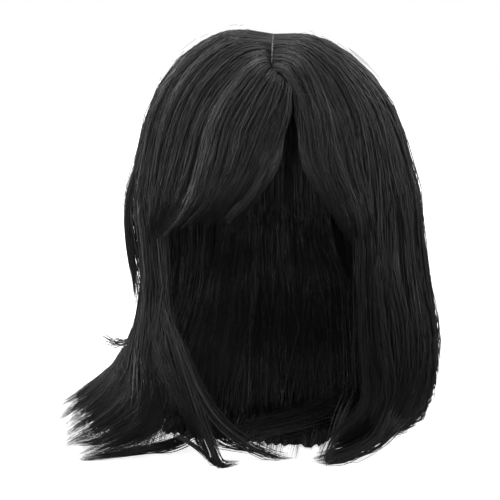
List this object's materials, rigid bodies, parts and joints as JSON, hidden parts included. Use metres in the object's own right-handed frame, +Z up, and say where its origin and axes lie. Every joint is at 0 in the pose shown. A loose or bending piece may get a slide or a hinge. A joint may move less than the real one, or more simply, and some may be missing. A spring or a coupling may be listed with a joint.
{
  "type": "hair wig",
  "caption": "Straight black shoulder-length wig with a parted fringe on a fitted net cap, standing on a table on its own hair.",
  "frame": {"origin": "on the table, under the middle of the wig's bounding box", "axes": "+Z up, -Y towards the face opening, +X to the right of someone who looks into the face opening"},
  "size_m": [0.2814, 0.2226, 0.3003],
  "materials": {
    "hair": "straight black hair with a soft gloss along the strands",
    "cap_net": "black elastic net, matte",
    "parting_strip": "pale woven strip, matte"
  },
  "bodies": {
    "root": {"cap": "cap_net", "parting_strip": "parting_strip", "hair_left": "hair", "hair_right": "hair", "hair_back": "hair", "fringe_left": "hair", "fringe_right": "hair", "front_lock": "hair"}
  },
  "joints": []
}
